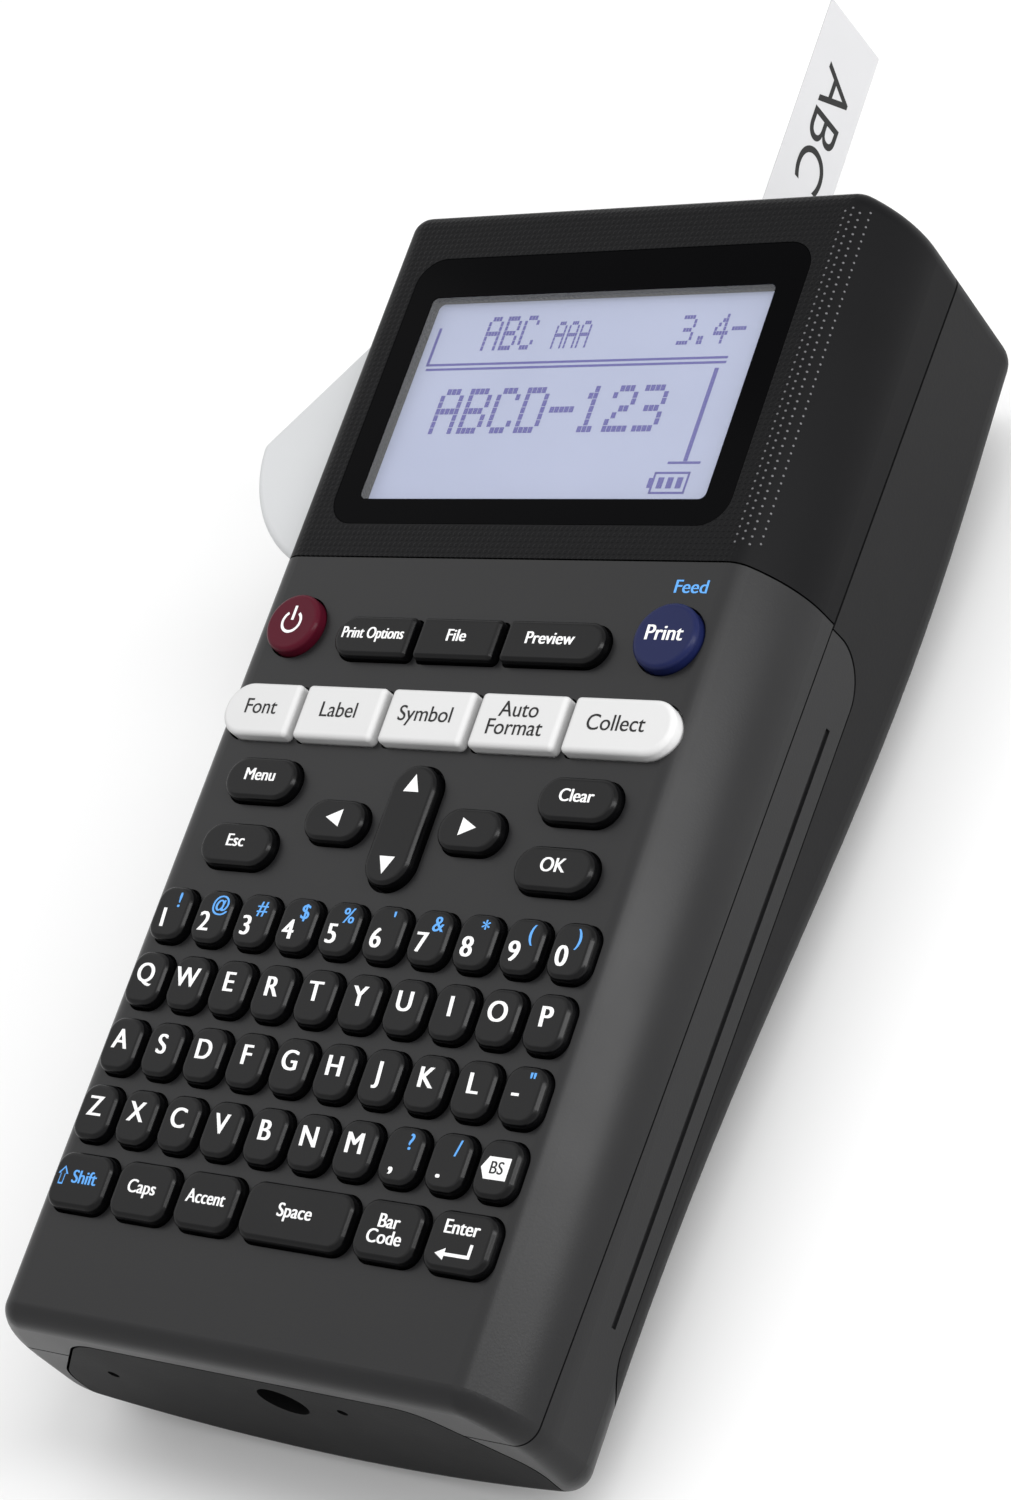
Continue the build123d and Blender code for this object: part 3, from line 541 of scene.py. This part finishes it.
# The flag of the last key, round its middle
FLAG = [(-2.6, 0.0), (-1.6, 1.7), (2.3, 1.7), (2.3, -1.7), (-1.6, -1.7)]
ROWS = {
    "digit_keys": ("1234567890", "!@#$%'&*()"),
    "upper_letter_keys": ("QWERTYUIOP", " " * 10),
    "middle_letter_keys": ("ASDFGHJKL-", " " * 9 + "\""),
    "lower_letter_keys": ("ZXCVBNM,. ", " " * 7 + "?/ "),
}
ink_z = KEY_TOP + INK_LIFT
for row, (row_name, (main, shifted)) in enumerate(ROWS.items()):
    sheet = Print(row_name + "_print", row_name + "_body", "key_black")
    y = DIGIT_ROW_Y - row * ROW_PITCH
    for column in range(COLUMNS):
        x = (column - MIDDLE_COLUMN) * COLUMN_PITCH
        two_signs = shifted[column] != " "
        main_x = x - MAIN_LEFT if two_signs else x
        main_y = y - MAIN_DOWN if two_signs else y + MAIN_UP
        if main[column] == "-":
            main_y = y + DASH_UP
        if main[column] != " ":
            sheet.add_text(main[column], main_x, main_y, MAIN_H, WHITE, ink_z,
                           width=0.98, slant=-0.1, weight=0.13)
        if two_signs:
            sheet.add_text(shifted[column], x + SHIFTED_RIGHT, y + SHIFTED_UP, SHIFTED_H, BLUE, ink_z,
                           width=0.98, weight=0.06)
    if row_name == "lower_letter_keys":
        flag_x = MIDDLE_COLUMN * COLUMN_PITCH
        sheet.add_polygon([(flag_x + dx, y + dy) for dx, dy in FLAG], WHITE, ink_z)
        sheet.add_text("BS", flag_x + 0.2, y, 2.0, BLACK, ink_z + OVERPRINT_LIFT, width=0.9, weight=0.04)
    sheet.done()
print("character rows", len(ROWS))

# %% [markdown]
# The function keys carry plain words. Those of the bottom row share the width of the character
# rows, and two of them also have an arrow drawn as a polygon.

# %% Words on the function keys
CHARACTER_KEY_W = 7.2
SPACE_W = 20.4
KEY_GAP = 1.5
WORD_H = 2.2
BOTTOM_KEYS = ("shift_key", "caps_key", "accent_key", "space_key", "bar_code_key", "enter_key")
row_width = (COLUMNS - 1) * COLUMN_PITCH + CHARACTER_KEY_W
# The row has as many gaps as keys beside the space bar
wide_count = len(BOTTOM_KEYS) - 1
wide_w = (row_width - SPACE_W - wide_count * KEY_GAP) / wide_count
bottom_y = DIGIT_ROW_Y - len(ROWS) * ROW_PITCH
word_y = bottom_y + 0.4


def word_key(key, words, x, y, height, ink=WHITE, width=0.96, weight=0.08, slot="key_black"):
    """One key with one printed word."""
    sheet = Print(key + "_print", key + "_body", slot)
    sheet.add_text(words, x, y, height, ink, ink_z, width=width, weight=weight)
    return sheet


left = -row_width / 2
key_x = {}
for key in BOTTOM_KEYS:
    width = SPACE_W if key == "space_key" else wide_w
    key_x[key] = left + width / 2
    left += width + KEY_GAP

# The shift arrow is an outline: a blue shape with a smaller black one over it
shift_print = word_key("shift_key", "Shift", key_x["shift_key"] + 1.0, word_y, WORD_H, BLUE)
shift_x = key_x["shift_key"] - 3.6
neck_y = bottom_y + 0.7
for inset, ink, lift in ((0.0, BLUE, 0.0), (0.28, BLACK, OVERPRINT_LIFT)):
    stem = 0.5 - inset * 0.6
    barb = 1.05 - inset * 1.6
    foot_y = bottom_y - 1.0 + inset
    barb_y = neck_y + inset * 0.3
    tip_y = bottom_y + 2.0 - inset * 1.3
    right_half = [(stem, foot_y), (stem, neck_y), (barb, barb_y)]
    left_half = [(-x, y) for x, y in reversed(right_half)]
    outline = right_half + [(0.0, tip_y)] + left_half
    shift_print.add_polygon([(shift_x + x, y) for x, y in outline], ink, ink_z + lift)
shift_print.done()
word_key("caps_key", "Caps", key_x["caps_key"], word_y, WORD_H).done()
word_key("accent_key", "Accent", key_x["accent_key"], word_y, WORD_H, width=0.88).done()
word_key("space_key", "Space", key_x["space_key"], word_y, WORD_H).done()
word_key("bar_code_key", "Bar\nCode", key_x["bar_code_key"], bottom_y, WORD_H).done()

ENTER_ARROW = [(-3.4, -2.1), (-1.7, -1.2), (-1.7, -1.85), (2.3, -1.85), (2.3, -0.2), (2.85, -0.2),
               (2.85, -2.35), (-1.7, -2.35), (-1.7, -3.0)]
enter_x = key_x["enter_key"]
enter_print = word_key("enter_key", "Enter", enter_x, bottom_y + 1.9, WORD_H)
enter_print.add_polygon([(enter_x + x, bottom_y + y) for x, y in ENTER_ARROW], WHITE, ink_z)
enter_print.done()

word_key("menu_key", "Menu", -31.2, -4.4, WORD_H).done()
word_key("escape_key", "Esc", -31.2, -16.0, WORD_H).done()
word_key("clear_key", "Clear", 31.2, -4.6, WORD_H).done()
word_key("ok_key", "OK", 31.2, -16.0, 2.4).done()
word_key("print_options_key", "Print Options", -18.9, 21.5, 2.1, width=0.8).done()
word_key("file_key", "File", -2.0, 21.5, WORD_H).done()
word_key("preview_key", "Preview", 16.2, 21.5, WORD_H).done()
word_key("print_key", "Print", 37.0, 23.0, 2.7).done()

WHITE_WORD_Y = 7.6
WHITE_WORD_H = 2.8
WHITE_WORDS = {
    "font_key": ("Font", -36.4),
    "label_key": ("Label", -20.1),
    "symbol_key": ("Symbol", -2.5),
    "format_key": ("Auto\nFormat", 15.3),
    "collection_key": ("Collect", 33.8),
}
for key, (words, x) in WHITE_WORDS.items():
    word_key(key, words, x, WHITE_WORD_Y, WHITE_WORD_H, BLACK, weight=0.03, slot="key_white").done()
print("word keys done")

# %% [markdown]
# The arrows are solid triangles. The up/down key carries two of them, one at either end.


# %% Arrow signs
def arrow(sheet, x, y, dx, dy, size=1.5):
    """A solid triangle pointing along dx, dy."""
    triangle = [(dx, dy), (-dx - dy, -dy + dx), (-dx + dy, -dy - dx)]
    sheet.add_polygon([(x + size * px, y + size * py) for px, py in triangle], WHITE, ink_z)


SIDE_ARROW_X = 13.3
SIDE_ARROW_Y = -10.8
ROCKER_Y = -11.1
ROCKER_ARROW = 7.0
for key, side in (("left_key", -1), ("right_key", 1)):
    sheet = Print(key + "_print", key + "_body", "key_black")
    arrow(sheet, side * SIDE_ARROW_X, SIDE_ARROW_Y, side, 0)
    sheet.done()
rocker = Print("up_down_key_print", "up_down", "key_black")
arrow(rocker, 0.0, ROCKER_Y + ROCKER_ARROW, 0, 1)
arrow(rocker, 0.0, ROCKER_Y - ROCKER_ARROW, 0, -1)
rocker.done()
print("arrows done")

# %% [markdown]
# The power sign is an open ring of short pieces with a bar in its gap. One blue word is printed on
# the case itself, above the print key.

# %% Power sign and case print
POWER_X = -36.8
POWER_Y = 23.2
RING_R = 2.1
RING_W = 0.5
RING_START = 125
RING_SWEEP = 290
RING_STEPS = 28
BAR_HALF = 0.27
BAR_LOW = 0.3
BAR_TOP = 2.9
power = Print("power_key_print", "power_key_body", "key_maroon")
inner_r = RING_R - RING_W
for step in range(RING_STEPS):
    a0 = math.radians(RING_START + RING_SWEEP * step / RING_STEPS)
    a1 = math.radians(RING_START + RING_SWEEP * (step + 1) / RING_STEPS)
    ring = [(r * math.cos(a), r * math.sin(a))
            for r, a in ((RING_R, a0), (RING_R, a1), (inner_r, a1), (inner_r, a0))]
    power.add_polygon([(POWER_X + x, POWER_Y + y) for x, y in ring], WHITE, ink_z)
bar = [(-BAR_HALF, BAR_LOW), (BAR_HALF, BAR_LOW), (BAR_HALF, BAR_TOP), (-BAR_HALF, BAR_TOP)]
power.add_polygon([(POWER_X + x, POWER_Y + y) for x, y in bar], WHITE, ink_z)
power.done()

case_print = Print("case_print", "case", "charcoal_case")
case_print.add_text("Feed", 37.6, 32.0, 2.4, BLUE, INK_LIFT, weight=0.06)
case_print.done()

# %% [markdown]
# The display is a dot matrix. Its characters are small grids of square dots, so each one is drawn
# from seven lines of five dots, and the dots lie on the panel.

# %% Dot patterns
PANEL_TOP = -2.3
DOT_LIFT = 0.04
LINES = 7
# Five dots and a gap
CELL_DOTS = 6
# How much of its place a dot fills, across and along
FILL_X = 0.88
FILL_Y = 0.9
# The dark dots also glow faintly by emission. This is a painted glow like the panel's.
dot_ink_painted_glow = finish("display_dots", (0.03, 0.025, 0.2), 0.5, drift=0.05,
                 Emission_Color=(0.09, 0.075, 0.42, 1), Emission_Strength=0.12)
PATTERNS = {
    "A": "01110 10001 10001 11111 10001 10001 10001",
    "B": "11110 10001 10001 11110 10001 10001 11110",
    "C": "01110 10001 10000 10000 10000 10001 01110",
    "D": "11110 10001 10001 10001 10001 10001 11110",
    "1": "00100 01100 00100 00100 00100 00100 01110",
    "2": "01110 10001 00001 00110 01000 10000 11111",
    "3": "11110 00001 00001 01110 00001 00001 11110",
    "4": "00010 00110 01010 10010 11111 00010 00010",
    ".": "00000 00000 00000 00000 00000 01100 01100",
    "-": "00000 00000 00000 11111 00000 00000 00000",
}
panel_z = PANEL_TOP + DOT_LIFT
dots = bmesh.new()


def dot(x, y, width, height):
    """One dark rectangle, with its lower left corner at x, y."""
    corners = ((x, y), (x + width, y), (x + width, y + height), (x, y + height))
    made = dots.faces.new([dots.verts.new((px, py, panel_z)) for px, py in corners])
    made.normal_update()
    if made.normal.z < 0:
        made.normal_flip()


def dot_words(words, x, y, pitch_x, pitch_y):
    """Words in dots, with the lower left corner at x, y."""
    for index, letter in enumerate(words):
        for line, bits in enumerate(PATTERNS[letter].split()):
            dot_y = y + (LINES - 1 - line) * pitch_y
            for column, bit in enumerate(bits):
                if bit == "1":
                    dot_x = x + (index * CELL_DOTS + column) * pitch_x
                    dot(dot_x, dot_y, pitch_x * FILL_X, pitch_y * FILL_Y)


print("dot patterns", len(PATTERNS))

# %% [markdown]
# The screen shows two short words and a length over a double rule, a line of text under it, a bar
# on the right and a battery sign.

# %% Display words
dot_words("ABC", -22.5, 77.0, 0.62, 0.95)
dot_words("AAA", -8.0, 77.0, 0.42, 0.75)
dot_words("3.4-", 17.0, 77.0, 0.55, 0.8)
dot_words("ABCD-123", -27.0, 61.0, 0.98, 1.25)
# The double rule with its left end, and the length bar on the right
RULES = [(-32.5, 74.2, 60.5, 0.45), (-32.5, 73.3, 60.5, 0.45), (-32.8, 74.2, 0.6, 7.5),
         (26.2, 55.5, 0.8, 17.0), (23.4, 55.0, 6.2, 0.45)]
for x, y, width, height in RULES:
    dot(x, y, width, height)
# The battery sign: four sides, the contact on its left and three bars
BATTERY_X = 21.0
BATTERY_Y = 49.6
BATTERY = [(0.6, 0, 6.8, 0.4), (0.6, 3.6, 6.8, 0.4), (0.6, 0, 0.4, 4.0), (7.0, 0, 0.4, 4.0),
           (-0.1, 1.1, 0.7, 1.8), (1.7, 1.0, 1.1, 2.0), (3.5, 1.0, 1.1, 2.0), (5.3, 1.0, 1.1, 2.0)]
for x, y, width, height in BATTERY:
    dot(BATTERY_X + x, BATTERY_Y + y, width, height)
dots_mesh = bpy.data.meshes.new("display_dots")
dots.to_mesh(dots_mesh)
dots.free()
dots_mesh.transform(TO_ROW)
dots_mesh.materials.append(dot_ink_painted_glow)
display_dots = new_object("display_dots", dots_mesh)
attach(display_dots, "case")
print("display dots", len(dots_mesh.polygons))

# %% [markdown]
# The label carries large plain letters, printed along the strip on the side that faces right. They
# are laid flat as the others are, then stood up against the tape.

# %% Label print
TAPE_X = 2.6
TAPE_T = 0.2
TAPE_MID_Z = -37.6
LABEL_LIFT = 0.02
LABEL_MID_Y = 133.0
LABEL_H = 9.0
tape_face = TAPE_X + TAPE_T / 2 + LABEL_LIFT
label_print = Print("label_tape_print", "cassette", "label")
label_print.add_text("ABC 123", 0.0, 0.0, LABEL_H, BLACK, 0.0, slant=0.0)
stand_up = Matrix((
    (0, 0, 1, tape_face),
    (-1, 0, 0, LABEL_MID_Y),
    (0, -1, 0, TAPE_MID_Z),
    (0, 0, 0, 1),
))
label_print.done(TO_ROW @ stand_up)
print("label print on the tape")
